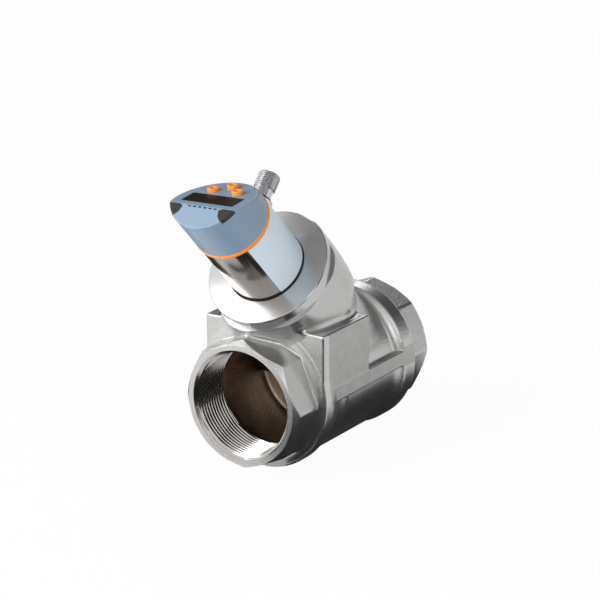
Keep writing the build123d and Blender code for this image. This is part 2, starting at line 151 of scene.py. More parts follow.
def make_world():
    """White where it is seen, and a dimmer white fill where it only lights."""
    world = bpy.data.worlds.new("tent")
    world.use_nodes = True
    tree = world.node_tree
    fill = tree.nodes["Background"]
    fill.inputs["Color"].default_value = (1, 1, 1, 1)
    fill.inputs["Strength"].default_value = fill_strength
    shown = tree.nodes.new("ShaderNodeBackground")
    shown.inputs["Color"].default_value = (1, 1, 1, 1)
    shown.inputs["Strength"].default_value = 1.0
    mix = tree.nodes.new("ShaderNodeMixShader")
    tree.links.new(seen_rays(tree), mix.inputs[0])
    tree.links.new(fill.outputs[0], mix.inputs[1])
    tree.links.new(shown.outputs[0], mix.inputs[2])
    tree.links.new(mix.outputs[0], tree.nodes["World Output"].inputs[0])
    scene.world = world


def make_floor():
    """A wide white floor at the object's lowest point."""
    corners = [(a * floor_half, b * floor_half, floor_height * MM) for a, b in CARD_CORNERS]
    mesh = bpy.data.meshes.new("floor")
    mesh.from_pydata(corners, [], [(0, 1, 2, 3)])
    floor = bpy.data.objects.new("floor", mesh)
    scene.collection.objects.link(floor)
    paint = bpy.data.materials.new("white_floor")
    paint.use_nodes = True
    tree = paint.node_tree
    body = tree.nodes["Principled BSDF"]
    body.inputs["Base Color"].default_value = (0.86, 0.86, 0.86, 1)
    body.inputs["Roughness"].default_value = 0.8
    glow = tree.nodes.new("ShaderNodeEmission")
    mix = tree.nodes.new("ShaderNodeMixShader")
    share = tree.nodes.new("ShaderNodeMath")
    share.operation = "MULTIPLY"
    share.inputs[1].default_value = floor_glow
    tree.links.new(seen_rays(tree, floor_glow_in_metal), share.inputs[0])
    tree.links.new(share.outputs[0], mix.inputs[0])
    tree.links.new(body.outputs[0], mix.inputs[1])
    tree.links.new(glow.outputs[0], mix.inputs[2])
    tree.links.new(mix.outputs[0], tree.nodes["Material Output"].inputs[0])
    mesh.materials.append(paint)


make_world()
make_floor()
print("floor at", floor_height, "mm")

# %% [markdown]
# Metal shows what stands around it, so it is lit as in a photographer's studio: soft lamps for the
# plain surfaces, and dark cards, called flags, whose mirror images are the steel's dark streaks. A
# painted streak would be simpler but would stay put when the view turns. Only glossy rays see a flag,
# and each stands where the line of sight, mirrored in the surface it should darken, leads to.

# %% Lamps and flags
middle = (0.0, -0.08, 0.03)
table = (floor_height + 0.15) * MM


def make_lamp(name, place_m, size, watts, mirrored=True):
    """A square soft lamp that faces the object's middle, and that metal may or may not mirror."""
    data = bpy.data.lights.new(name, "AREA")
    data.size = size
    data.energy = watts
    lamp = bpy.data.objects.new(name, data)
    back = np.array(place_m, float) - np.array(middle, float)
    back /= np.linalg.norm(back)
    side = np.cross([0.0, 0.0, 1.0], back)
    side /= np.linalg.norm(side)
    pose = np.eye(4)
    pose[:3, 0], pose[:3, 1], pose[:3, 2], pose[:3, 3] = side, np.cross(back, side), back, place_m
    lamp.matrix_world = Matrix(pose.tolist())
    lamp.visible_glossy = mirrored
    scene.collection.objects.link(lamp)


def flag_corners(towards_flag, distance, size):
    """Corners of a card that faces the object from some way off."""
    out = np.array(towards_flag, float)
    out /= np.linalg.norm(out)
    side = np.cross([0.0, 0.0, 1.0], out)
    side /= np.linalg.norm(side)
    rise = np.cross(out, side)
    centre = np.array(middle) + distance * out
    wide, high = size[0] / 2, size[1] / 2
    return [centre + a * wide * side + b * high * rise for a, b in CARD_CORNERS]


def make_flag(name, corners, grey):
    """A dark card that only glossy rays see, given by its corners in metres."""
    mesh = bpy.data.meshes.new(name)
    mesh.from_pydata([tuple(c) for c in corners], [], [(0, 1, 2, 3)])
    flag = bpy.data.objects.new(name, mesh)
    scene.collection.objects.link(flag)
    paint = bpy.data.materials.new(name)
    paint.use_nodes = True
    tree = paint.node_tree
    glow = tree.nodes.new("ShaderNodeEmission")
    glow.inputs["Color"].default_value = (grey, grey, grey, 1)
    tree.links.new(glow.outputs[0], tree.nodes["Material Output"].inputs[0])
    mesh.materials.append(paint)
    flag.visible_camera = False
    flag.visible_diffuse = False
    flag.visible_shadow = False
    flag.visible_transmission = False


def level_flag(name, height, corners, grey):
    """A flag that lies level at one height, given by its corners across and along."""
    make_flag(name, [(a, b, height) for a, b in corners], grey)


make_lamp("key_lamp", (-0.95, -1.05, 0.8), 0.8, 7.0)
make_lamp("form_lamp", (-0.5, -1.35, 0.6), 0.7, 16.0, False)
make_lamp("side_lamp", (1.2, -0.8, 0.6), 0.4, 5.0)
make_lamp("back_lamp", (-0.5, 1.2, 0.9), 0.5, 2.5)
make_flag("back_flag", flag_corners((-0.1, 0.82, 0.42), 1.6, (3.4, 1.2)), 0.04)
level_flag("left_table_flag", table, [(-0.25, -0.09), (-0.05, -0.09), (-0.05, 0.15), (-0.25, 0.15)], 0.05)
make_flag("right_flag", flag_corners((0.9, -0.25, 0.3), 1.4, (1.6, 1.0)), 0.12)
level_flag("top_flag", 1.5, [(-0.9, -0.7), (1.8, -1.3), (1.8, 1.7), (-1.2, 1.7)], 0.3)
level_flag("near_table_flag", table, [(0.013, -0.16), (0.08, -0.16), (0.08, 0.04), (0.013, 0.04)], 0.03)
level_flag("mouth_table_flag", table, [(-0.07, -0.34), (0.0, -0.34), (0.0, -0.176), (-0.045, -0.176)], 0.02)
level_flag("front_table_flag", table, [(0.0, -0.9), (0.8, -0.9), (0.5, -0.075), (0.0, -0.16)], 0.02)
scene.view_settings.view_transform = "Standard"
print("lamps", len(bpy.data.lights))

# %% [markdown]
# Most pieces are surfaces on a grid of two parameters, such as the way along an outline and the angle
# round an axis. Modelling by hand would do too, but on a grid each size stays a value that can change.
# The helpers below turn such a grid into a mesh: rows run along one parameter and columns along the
# other, and either can close on itself.

# %% From grids to pieces
SHARP = math.radians(32.0)


def grid_faces(rows, columns, close_rows, close_columns):
    """Quads between neighbouring rows and columns, as indices into the flattened grid."""
    i = np.arange(rows if close_rows else rows - 1)[:, None]
    j = np.arange(columns if close_columns else columns - 1)[None, :]
    i2, j2 = (i + 1) % rows, (j + 1) % columns
    corners = (i * columns + j, i2 * columns + j, i2 * columns + j2, i * columns + j2)
    return np.stack(np.broadcast_arrays(*corners), -1).reshape(-1, 4)


def grid_uv(along, around, rows, columns, close_rows, close_columns):
    """Corner coordinates of grid_faces: along for each row and around for each column, one past the end."""
    i = np.arange(rows if close_rows else rows - 1)[:, None]
    j = np.arange(columns if close_columns else columns - 1)[None, :]
    corners = ((i, j), (i + 1, j), (i + 1, j + 1), (i, j + 1))
    pairs = [np.stack(np.broadcast_arrays(along[a], around[b]), -1) for a, b in corners]
    return np.stack(pairs, -2).reshape(-1, 4, 2)


def outwards(points, quads, *corners):
    """Turns all the quads over when the volume they enclose comes out negative."""
    a, b, c, d = (points[quads[:, k]] for k in range(4))
    volume = (a * np.cross(b, c)).sum() + (a * np.cross(c, d)).sum()
    if volume < 0:
        return quads[:, ::-1], *(None if item is None else item[:, ::-1] for item in corners)
    return quads, *corners


def make_piece(name, points, quads, material, body, replaced=(), weld=False, uv=None, normals=None):
    """Puts points in metres and quads into a mesh that rides on a body and stands for some nodes."""
    quads, uv, normals = outwards(points, quads, uv, normals)
    mesh = bpy.data.meshes.new(name)
    mesh.vertices.add(len(points))
    mesh.vertices.foreach_set("co", np.asarray(points, np.float32).ravel())
    mesh.loops.add(quads.size)
    mesh.loops.foreach_set("vertex_index", quads.astype(np.int32).ravel())
    mesh.polygons.add(len(quads))
    mesh.polygons.foreach_set("loop_start", np.arange(0, quads.size, 4, dtype=np.int32))
    mesh.update(calc_edges=True)
    if uv is not None:
        layer = mesh.uv_layers.new(name="turning")
        layer.data.foreach_set("uv", np.ascontiguousarray(uv, np.float32).ravel())
    if weld:
        weld_mesh(mesh)
    mesh.validate()
    mesh.shade_smooth()
    if normals is None:
        mesh.set_sharp_from_angle(angle=SHARP)
    else:
        mesh.normals_split_custom_set(np.ascontiguousarray(normals, np.float32).reshape(-1, 3))
    mesh.materials.append(material)
    piece = bpy.data.objects.new(name, mesh)
    scene.collection.objects.link(piece)
    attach(piece, body)
    if replaced:
        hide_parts(*replaced)
    print(name, len(mesh.vertices), "vertices", len(mesh.polygons), "faces")
    return piece


def weld_mesh(mesh):
    """Merges doubled points, as at the poles of a turned shape, and drops the flat faces left there."""
    work = bmesh.new()
    work.from_mesh(mesh)
    bmesh.ops.remove_doubles(work, verts=work.verts, dist=1e-6)
    work.to_mesh(mesh)
    work.free()


def rounded(outline, steps=5):
    """Outline of (radius, height, corner radius) points; each corner becomes an arc about its centre."""
    points = []
    count = len(outline)
    for k in range(count):
        here = np.array(outline[k][:2], float)
        radius = outline[k][2] if len(outline[k]) > 2 else 0.0
        if not radius:
            points.append(here)
            continue
        before = np.array(outline[k - 1][:2], float) - here
        after = np.array(outline[(k + 1) % count][:2], float) - here
        before /= np.linalg.norm(before)
        after /= np.linalg.norm(after)
        half = math.acos(max(-1.0, min(1.0, float(before @ after)))) / 2
        reach = radius / math.tan(half)
        centre = here + (before + after) / np.linalg.norm(before + after) * radius / math.sin(half)
        first, last = here + before * reach - centre, here + after * reach - centre
        share = np.linspace(0, 1, steps + 1)[:, None]
        swing = math.acos(max(-1.0, min(1.0, float(first @ last) / radius**2)))
        weight = np.sin((1 - share) * swing) * first + np.sin(share * swing) * last
        points.extend(centre + weight / math.sin(swing))
    return np.array(points)


def turned(outline, axes, origin=crossing, columns=160):
    """Closed outline turned about the local upright axis: x = r cos t, y = r sin t, z = height."""
    outline = np.asarray(outline, float)
    angle = np.arange(columns) * 2 * math.pi / columns
    radius, height = outline[:, :1], outline[:, 1:2]
    points = np.stack(np.broadcast_arrays(radius * np.cos(angle), radius * np.sin(angle), height), -1)
    rows = len(outline)
    steps = np.linalg.norm(np.roll(outline, -1, 0) - outline, axis=1)
    along = np.concatenate([[0], np.cumsum(steps)]) * MM
    around = np.arange(columns + 1) / columns
    uv = grid_uv(along, around, rows, columns, True, True)
    return place(points.reshape(-1, 3), axes, origin), grid_faces(rows, columns, True, True), uv

# %% [markdown]
# Materials are built from nodes. The same few steps come back in all of them, so each is a function
# that adds its node to a tree and returns the socket with the result.

# %% Node helpers
def new_group(name, inputs, outputs):
    """Empty shader node group with float, colour or vector sockets given as (name, type, default)."""
    group = bpy.data.node_groups.new(name, "ShaderNodeTree")
    for label, kind, default in inputs:
        socket = group.interface.new_socket(label, in_out="INPUT", socket_type=kind)
        if default is not None:
            socket.default_value = default
    for label, kind in outputs:
        group.interface.new_socket(label, in_out="OUTPUT", socket_type=kind)
    return group, group.nodes.new("NodeGroupInput"), group.nodes.new("NodeGroupOutput")


def math_node(tree, operation, a, b):
    """Math node whose two operands are sockets or numbers; returns its result."""
    node = tree.nodes.new("ShaderNodeMath")
    node.operation = operation
    for k, value in enumerate((a, b)):
        if isinstance(value, (int, float)):
            node.inputs[k].default_value = value
        else:
            tree.links.new(value, node.inputs[k])
    return node.outputs[0]


def noise_node(tree, vector, scale, detail=3.0, roughness=0.55):
    """Noise between 0 and 1 at a scale per metre, which may be a socket."""
    node = tree.nodes.new("ShaderNodeTexNoise")
    node.inputs["Detail"].default_value = detail
    node.inputs["Roughness"].default_value = roughness
    tree.links.new(vector, node.inputs["Vector"])
    if isinstance(scale, (int, float)):
        node.inputs["Scale"].default_value = scale
    else:
        tree.links.new(scale, node.inputs["Scale"])
    return node.outputs["Fac"]


def scaled(tree, colour, factor):
    """Colour times a factor; the colour is a socket or three numbers."""
    node = tree.nodes.new("ShaderNodeVectorMath")
    node.operation = "SCALE"
    if isinstance(colour, tuple):
        node.inputs[0].default_value = colour
    else:
        tree.links.new(colour, node.inputs[0])
    tree.links.new(factor, node.inputs["Scale"])
    return node.outputs[0]


def own_place(tree):
    """Object coordinates, whole and as three separate numbers."""
    where = tree.nodes.new("ShaderNodeTexCoord").outputs["Object"]
    parts = tree.nodes.new("ShaderNodeSeparateXYZ")
    tree.links.new(where, parts.inputs[0])
    return where, parts.outputs


def stirred(tree, value, contrast):
    """Value between 0 and 1 as a change about nought: (value - 0.5) times the contrast."""
    return math_node(tree, "MULTIPLY", math_node(tree, "SUBTRACT", value, 0.5), contrast)

# %% [markdown]
# Two effects come back in many finishes, so each is a shader group with named inputs: a fine grain, as
# shot blasting or a mould's texture leaves it, and the hair-thin rings that a lathe leaves. Both could
# be images, but noise has no seams and any size. Both put out a colour, a roughness and a normal.

# %% Shader groups
FLOAT, COLOUR, VECTOR = "NodeSocketFloat", "NodeSocketColor", "NodeSocketVector"


def end_group(group, given, result, shade, rough, relief):
    """Puts out the given colour times the shade, the roughness, and a bump as high as the relief."""
    bump = group.nodes.new("ShaderNodeBump")
    bump.inputs["Strength"].default_value = 1.0
    group.links.new(relief, bump.inputs["Height"])
    group.links.new(given.outputs["Height"], bump.inputs["Distance"])
    colour = scaled(group, given.outputs["Color"], shade)
    for label, socket in (("Color", colour), ("Roughness", rough), ("Normal", bump.outputs[0])):
        group.links.new(socket, result.inputs[label])
    return group


def grain_group():
    """Fine grain: two sizes of noise stir the colour and the roughness and lift the surface."""
    group, given, result = new_group(
        "fine_grain",
        [
            ("Color", COLOUR, (0.5, 0.5, 0.5, 1)),
            ("Roughness", FLOAT, 0.4),
            ("Grains per Metre", FLOAT, 2500.0),
            ("Height", FLOAT, 0.00005),
            ("Contrast", FLOAT, 0.1),
            ("Cloud Contrast", FLOAT, 0.08),
        ],
        [("Color", COLOUR), ("Roughness", FLOAT), ("Normal", VECTOR)],
    )
    where = group.nodes.new("ShaderNodeTexCoord").outputs["Object"]
    fine = noise_node(group, where, given.outputs["Grains per Metre"], 2.0, 0.6)
    cloud = noise_node(group, where, 45.0, 3.0, 0.5)
    stir = stirred(group, fine, given.outputs["Contrast"])
    drift = stirred(group, cloud, given.outputs["Cloud Contrast"])
    shade = math_node(group, "ADD", math_node(group, "ADD", stir, drift), 1.0)
    gloss = math_node(group, "ADD", math_node(group, "MULTIPLY", drift, -1.5), 1.0)
    rough = math_node(group, "MULTIPLY", given.outputs["Roughness"], gloss)
    return end_group(group, given, result, shade, rough, fine)


def lathe_group():
    """Lathe rings: noise along the turned outline alone, so that it runs round the piece in hair lines."""
    group, given, result = new_group(
        "lathe_rings",
        [
            ("Color", COLOUR, (0.5, 0.5, 0.5, 1)),
            ("Roughness", FLOAT, 0.25),
            ("Rings per Metre", FLOAT, 3000.0),
            ("Height", FLOAT, 0.00001),
            ("Contrast", FLOAT, 0.06),
        ],
        [("Color", COLOUR), ("Roughness", FLOAT), ("Normal", VECTOR)],
    )
    place_on = group.nodes.new("ShaderNodeUVMap")
    place_on.uv_map = "turning"
    parts = group.nodes.new("ShaderNodeSeparateXYZ")
    group.links.new(place_on.outputs[0], parts.inputs[0])
    along = group.nodes.new("ShaderNodeCombineXYZ")
    group.links.new(parts.outputs["X"], along.inputs["X"])
    rings = noise_node(group, along.outputs[0], given.outputs["Rings per Metre"], 2.0, 0.7)
    shade = math_node(group, "ADD", stirred(group, rings, given.outputs["Contrast"]), 1.0)
    rough = math_node(group, "MULTIPLY", given.outputs["Roughness"], shade)
    return end_group(group, given, result, shade, rough, rings)


GRAIN = grain_group()
LATHE = lathe_group()
print("shader groups", [group.name for group in (GRAIN, LATHE)])

# %% [markdown]
# A finish is a Principled shader fed by one of the groups. Turned metal also spreads its gloss across
# the rings, for which the shader needs the direction in which the piece was turned.

# %% Finishes from the groups
def grouped(name, group, metallic, colour, values, sockets):
    """Material whose colour, roughness and normal come from a group; other values sit on the shader."""
    paint = bpy.data.materials.new(name)
    paint.use_nodes = True
    tree = paint.node_tree
    shader = tree.nodes["Principled BSDF"]
    shader.inputs["Metallic"].default_value = metallic
    for socket, value in sockets.items():
        shader.inputs[socket.replace("_", " ")].default_value = value
    node = tree.nodes.new("ShaderNodeGroup")
    node.node_tree = group
    node.inputs["Color"].default_value = (*colour, 1)
    for label, value in values.items():
        node.inputs[label].default_value = value
    for output, socket in (("Color", "Base Color"), ("Roughness", "Roughness"), ("Normal", "Normal")):
        tree.links.new(node.outputs[output], shader.inputs[socket])
    return paint


def lathed(name, colour, roughness, anisotropic=0.5, rings=3000.0, height=0.000004, contrast=0.05):
    """Turned metal: the lathe's rings, and a gloss that is spread across them."""
    values = {"Roughness": roughness, "Rings per Metre": rings, "Height": height, "Contrast": contrast}
    paint = grouped(name, LATHE, 1.0, colour, values, {"Anisotropic": anisotropic})
    tree = paint.node_tree
    tangent = tree.nodes.new("ShaderNodeTangent")
    tangent.direction_type = "UV_MAP"
    tangent.uv_map = "turning"
    tree.links.new(tangent.outputs[0], tree.nodes["Principled BSDF"].inputs["Tangent"])
    return paint


def grained(name, colour, roughness, metallic, grain=(2500.0, 0.00004, 0.1, 0.1), **sockets):
    """Material with the fine grain: grain gives grains per metre, height, contrast and cloud contrast."""
    labels = ("Grains per Metre", "Height", "Contrast", "Cloud Contrast")
    values = {"Roughness": roughness, **dict(zip(labels, grain))}
    return grouped(name, GRAIN, metallic, colour, values, sockets)

# %% [markdown]
# The cast steel has two more zones. Inside the pipe it is browner and darker, in clouds, and on the side
# the ground pad is greyer and speckled, with a painted highlight as a bright strip along its front. Both
# could be materials of their own, but then the border would have to follow the faces; a mask from the
# place of each point cuts it clean.

# %% Zones of the casting
inside_zones = ((0.0339, -0.106, -0.029), (0.0314, -0.135, -0.0005))
inside_tint = (0.56, 0.46, 0.38)
pad_skin = 0.03935
pad_bottom = -0.0004
# Painted highlight: the pad's face in front of this place along the pipe is lightened.
highlight_strip_back = -0.1095


def darken_inside(paint):
    """Brown skin where the distance to the pipe's axis, the root of x x + z z, is within a zone's reach."""
    tree = paint.node_tree
    skin = tree.nodes["Principled BSDF"].inputs["Base Color"].links[0].from_socket
    where, parts = own_place(tree)
    square = [math_node(tree, "MULTIPLY", parts[a], parts[a]) for a in ("X", "Z")]
    radius = math_node(tree, "SQRT", math_node(tree, "ADD", *square), 0.0)
    mask = None
    for reach, first, last in inside_zones:
        near = math_node(tree, "LESS_THAN", radius, reach)
        after = math_node(tree, "GREATER_THAN", parts["Y"], first)
        before = math_node(tree, "LESS_THAN", parts["Y"], last)
        zone = math_node(tree, "MULTIPLY", math_node(tree, "MULTIPLY", near, after), before)
        mask = zone if mask is None else math_node(tree, "MAXIMUM", mask, zone)
    soil = tree.nodes.new("ShaderNodeMix")
    soil.data_type = "RGBA"
    colours = [s for s in soil.inputs if s.type == "RGBA"]
    tree.links.new(mask, soil.inputs["Factor"])
    tree.links.new(skin, colours[0])
    cloud = noise_node(tree, where, 60.0, 3.0, 0.6)
    tree.links.new(scaled(tree, inside_tint, math_node(tree, "ADD", cloud, 0.3)), colours[1])
    return [s for s in soil.outputs if s.type == "RGBA"][0]


def ground_pad(paint, skin):
    """Greyer, speckled ground pad and rib, with a painted highlight as a bright strip along the front."""
    tree = paint.node_tree
    where, parts = own_place(tree)
    outer = math_node(tree, "GREATER_THAN", parts["X"], pad_skin)
    above = math_node(tree, "GREATER_THAN", parts["Z"], pad_bottom)
    # The strip in front of the pad's front edge gets a painted highlight, a third brighter than the rest.
    highlight_strip = math_node(tree, "LESS_THAN", parts["Y"], highlight_strip_back)
    speckle = math_node(tree, "MULTIPLY", noise_node(tree, where, 1500.0, 2.0, 0.7), 0.7)
    coarse = math_node(tree, "MULTIPLY", noise_node(tree, where, 160.0, 3.0, 0.6), 0.3)
    grain = math_node(tree, "MULTIPLY", math_node(tree, "ADD", speckle, coarse), 0.65)
    level = math_node(tree, "ADD", math_node(tree, "MULTIPLY", highlight_strip, 0.34), 0.42)
    shade = math_node(tree, "ADD", grain, level)
    zone = math_node(tree, "MULTIPLY", outer, above)
    change = math_node(tree, "MULTIPLY", zone, math_node(tree, "SUBTRACT", shade, 1.0))
    colour = scaled(tree, skin, math_node(tree, "ADD", change, 1.0))
    tree.links.new(colour, tree.nodes["Principled BSDF"].inputs["Base Color"])

# %% [markdown]
# Each finish of the object gets its own material. Metals differ in how rough and how dark they are:
# blasted on the casting, turned on the bonnet, drawn and polished on the sleeve. The plastics are
# moulded, with a texture so fine that it only softens their gloss. The last loop paints the packed
# solids, so that one that no drawn piece stands for is finished as well.

# %% Materials
blasted = (900.0, 0.00016, 0.34, 0.16)
smooth_turned = (2500.0, 0.00001, 0.03, 0.05)
smooth_drawn = (2500.0, 0.00001, 0.03, 0.2)
moulded = (3000.0, 0.00001, 0.03, 0.02)
printed = (3000.0, 0.000005, 0.02, 0.02)
polished = (3000.0, 0.0, 0.02, 0.02)
cast_steel = grained("cast_steel", (0.60, 0.595, 0.585), 0.3, 1.0, blasted)
ground_pad(cast_steel, darken_inside(cast_steel))
turned_ring = lathed("turned_ring", (0.60, 0.60, 0.61), 0.22, 0.5)
drawn_sleeve = lathed("drawn_sleeve", (0.43, 0.40, 0.37), 0.14, 0.3, 500.0, 0.000002, 0.05)
cut_thread = lathed("cut_thread", (0.52, 0.50, 0.48), 0.16, 0.2)
plug_nickel = lathed("plug_nickel", (0.66, 0.66, 0.68), 0.22, 0.3)
turned_steel = grained("turned_steel", (0.62, 0.62, 0.63), 0.24, 1.0, smooth_turned)
sleeve_steel = grained("sleeve_steel", (0.5, 0.47, 0.44), 0.2, 1.0, smooth_drawn)
spring_steel = grained("spring_steel", (0.5, 0.5, 0.5), 0.25, 1.0)
nickel = grained("nickel", (0.66, 0.66, 0.68), 0.2, 1.0)
sintered = grained("sintered", (0.05, 0.05, 0.055), 0.5, 0.4)
black_rubber = grained("black_rubber", (0.008, 0.008, 0.01), 0.5, 0.0, Specular_IOR_Level=0.2)
brown_plastic = grained("brown_plastic", (0.05, 0.035, 0.025), 0.35, 0.0)
black_plastic = grained("black_plastic", (0.02, 0.02, 0.02), 0.4, 0.0)
housing_plastic = grained("housing_plastic", (0.215, 0.297, 0.40), 0.34, 0.0, moulded)
orange_plastic = grained("orange_plastic", (0.86, 0.30, 0.045), 0.38, 0.0, moulded)
foil_face = grained("foil_face", (0.64, 0.735, 0.81), 0.3, 0.0, printed)
window_glaze = grained("window_glaze", (0.017, 0.012, 0.010), 0.4, 0.0, polished, Specular_IOR_Level=0.04)
smoky_lens = grained("smoky_lens", (0.03, 0.026, 0.024), 0.22, 0.0, polished, Specular_IOR_Level=0.3)
dark_light = grained("dark_light", (0.01, 0.014, 0.024), 0.2, 0.0, polished)
green_board = grained("green_board", (0.02, 0.12, 0.05), 0.4, 0.0)
gold = grained("gold", (0.85, 0.6, 0.25), 0.25, 1.0)

node_finish = {
    "valve_body": cast_steel, "seat_ring": turned_steel, "bonnet": turned_steel, "bonnet_seal": black_rubber,
    "sensor_tube": turned_steel, "hall_board": green_board, "return_spring": spring_steel,
    "piston": brown_plastic, "piston_seal": black_rubber, "piston_magnet": sintered,
    "magnet_clip_lower": spring_steel, "magnet_clip_upper": spring_steel, "swivel_neck": turned_steel,
    "neck_circlip": spring_steel, "base_seal": black_rubber, "sensor_sleeve": sleeve_steel,
    "type_foil": foil_face, "accent_ring": orange_plastic, "display_housing": housing_plastic,
    "display_window": window_glaze, "display_module": black_plastic, "display_board": green_board,
    "button_switches": black_plastic, "main_board": green_board, "status_lens_right": smoky_lens,
    "status_lens_left": smoky_lens, "status_leds": dark_light, "connector_shell": nickel,
    "connector_insert": black_plastic, "connector_pins": gold, "connector_seal": black_rubber,
    "set_button": orange_plastic, "up_button": orange_plastic, "down_button": orange_plastic,
}
for label, finish in node_finish.items():
    mesh = nodes[label].data
    mesh.materials.clear()
    mesh.materials.append(finish)
print("materials", len(bpy.data.materials))

# %% [markdown]
# The body is a casting: every wall flows into the next with a fillet. Such a blend is hard to draw
# patch by patch, but easy to say as a distance. Each block of the body gives, for any point, about how
# far it is outside that block. The smaller of two distances joins two blocks, the larger one cuts them
# down to what they share, and a rounded minimum or maximum leaves a fillet along the seam.

# %% Distances and fillets
def join(a, b, fillet):
    """Union with a round fillet: inside the fillet zone, the distance from its circle's arc."""
    arc = np.hypot(np.maximum(fillet - a, 0), np.maximum(fillet - b, 0))
    return np.maximum(fillet, np.minimum(a, b)) - arc


def meet(a, b, edge):
    """What two shapes share, with the edge between them rounded."""
    return -join(-a, -b, edge)


def glide(x, start, end, low, high):
    """Runs from low to high between two places: the share t of the way enters as t t (3 - 2 t)."""
    share = np.clip((x - start) / (end - start), 0, 1)
    return low + (high - low) * share * share * (3 - 2 * share)


def prism(u, w, sides, reach, first, edge):
    """Regular prism about the origin: the largest of its flats' distances, with rounded edges."""
    flats = []
    for k in range(sides // 2):
        angle = math.radians(first + 360.0 / sides * k)
        flats.append(np.abs(u * math.cos(angle) + w * math.sin(angle)) - reach)
    shape = flats[0]
    for flat_side in flats[1:]:
        shape = meet(shape, flat_side, edge)
    return shape


def slab(t, low, high):
    """Distance from the slab between two values of a coordinate."""
    return np.maximum(low - t, t - high)

# %% [markdown]
# The real body is poured in one piece: a round run between two octagons for the wrench, square
# shoulders with a ground pad, and a leaning arm that is a rounded hexagon on a domed foot. Each block
# below is one of these forms, with x across, v along the pipe and z up, and rho the distance from the
# pipe's axis. The last number of each join or meet is the radius of the fillet or edge between them.

# %% The casting's blocks
octagon_radius = 36.4
octagon_flat = octagon_radius * math.cos(math.radians(22.5))
octagon_face_radius = 33.3
chamfer_depth = 3.3
barrel_radius = 36.4
inlet_collar_radius = 40.4
outlet_collar_radius = 41.0
tube_span = (-16.0, 76.0)
flare_span = (-22.5, -14.0)
flare_inset = 0.6
inlet_collar_end = -5.0
rise_span = (54.0, 70.0)
outlet_collar_span = (50.0, 76.2)
inlet_octagon_length = 20.5
outlet_octagon_length = 23.0
foot_half_width = 21.5
foot_radius = 39.4
foot_span = (3.0, 75.0)
shoulder_span = (31.0, 76.2)
shoulder_height = (-0.6, 39.5)
pad_reach = 39.5
plain_reach = 36.0
rib_top = 8.2
rib_span = (-14.0, 72.0)
arm_flat = 34.2
arm_corner = 36.0
arm_turn = 19.0
arm_start = 10.0
arm_top = 92.0
dome_height = 72.0
neck_radius = 29.0
chamber_radius = 33.0
chamber_span = (-7.5, 66.0)
thread_bore = 30.4
seat_faces = (8.0, 14.0)
web_faces = (21.0, 27.0)
seat_hole = 22.5
seat_hole_span = (6.0, 16.0)
arm_bore = 27.0
arm_bore_start = 60.0
neck_bore = 25.0


def barrel(x, v, z, rho):
    """Round run: tube, inlet collar with its flare, outlet collar with its slope, and the flat foot."""
    tube = meet(rho - barrel_radius, slab(v, *tube_span), 0.8)
    flare = glide(v, *flare_span, octagon_flat - flare_inset, inlet_collar_radius)
    inlet_collar = meet(rho - flare, slab(v, flare_span[0], inlet_collar_end), 0.9)
    rise = glide(v, *rise_span, barrel_radius - 1.0, outlet_collar_radius)
    outlet_collar = meet(rho - rise, slab(v, *outlet_collar_span), 1.0)
    foot = meet(np.abs(x) - foot_half_width, rho - foot_radius, 1.5)
    foot = meet(foot, slab(v, *foot_span), 2.0)
    foot = np.maximum(foot, z)
    run = join(join(tube, inlet_collar, 6.0), outlet_collar, 4.0)
    return join(run, foot, 1.0)


def shoulders(x, v, z):
    """Square shoulders with the pad, and the rib that carries the pad's face back to the collar."""
    block = meet(slab(x, -plain_reach, pad_reach), slab(v, *shoulder_span), 1.1)
    block = meet(block, slab(z, *shoulder_height), 1.0)
    rib = meet(slab(x, 0.0, pad_reach), slab(z, shoulder_height[0], rib_top), 0.8)
    rib = np.maximum(rib, slab(v, *rib_span))
    return block, rib


def octagon_end(x, z, rho, depth, root):
    """Octagonal end whose rim is cut by a cone; depth is how far a point lies behind the end's face."""
    slope = (octagon_radius - octagon_face_radius) / chamfer_depth
    cone = (rho - octagon_face_radius - depth * slope) / math.hypot(1, slope)
    end = meet(prism(x, z, 8, octagon_flat, 22.5, 0.8), depth - root, 0.5)
    return np.maximum(end, np.maximum(cone, -depth))


def hollow(v, s, rho, rb):
    """Chambers on both sides of the inclined seat wall, the arm's bore, the seat and the thread bores."""
    chamber = meet(rho - chamber_radius, slab(v, *chamber_span), 3.0)
    inlet_side = meet(chamber, meet(s - seat_faces[0], v - web_faces[0], 3.0), 3.0)
    outlet_side = meet(chamber, -np.maximum(s - seat_faces[1], v - web_faces[1]), 3.0)
    upper = np.maximum(rb - arm_bore, arm_bore_start - s)
    lower = np.maximum(rb - neck_bore, seat_faces[1] - s)
    bore = np.minimum(upper, lower)
    outlet_side = join(outlet_side, bore, 5.0)
    threads = np.maximum(rho - thread_bore, np.minimum(chamber_span[1] - v, v - chamber_span[0]))
    seat = np.maximum(rb - seat_hole, slab(s, *seat_hole_span))
    space = np.minimum(np.minimum(inlet_side, outlet_side), np.minimum(bore, seat))
    return np.minimum(space, threads)


def casting(x, v, z):
    """The whole cast body; s runs up the arm, n behind it, and rb is the distance from the arm's axis."""
    rho = np.hypot(x, z)
    s = math.sin(lean) * (v + z)
    n = math.cos(lean) * (z - v)
    rb = np.hypot(x, n)
    block, rib = shoulders(x, v, z)
    shape = join(join(barrel(x, v, z, rho), block, 1.0), rib, 0.8)
    shape = join(shape, octagon_end(x, z, rho, outlet_length - v, outlet_octagon_length), 1.2)
    shape = join(shape, octagon_end(x, z, rho, v + inlet_length, inlet_octagon_length), 1.2)
    dome = np.hypot(rb, np.minimum(s - dome_height, 0)) - arm_corner
    arm = meet(prism(x, n, 6, arm_flat, 30.0 + arm_turn, 1.0), dome, 1.0)
    arm = join(arm, np.maximum(rb - neck_radius, arm_start - s), 5.0)
    shape = np.maximum(join(shape, arm, 4.0), s - arm_top)
    return np.maximum(shape, -hollow(v, s, rho, rb))


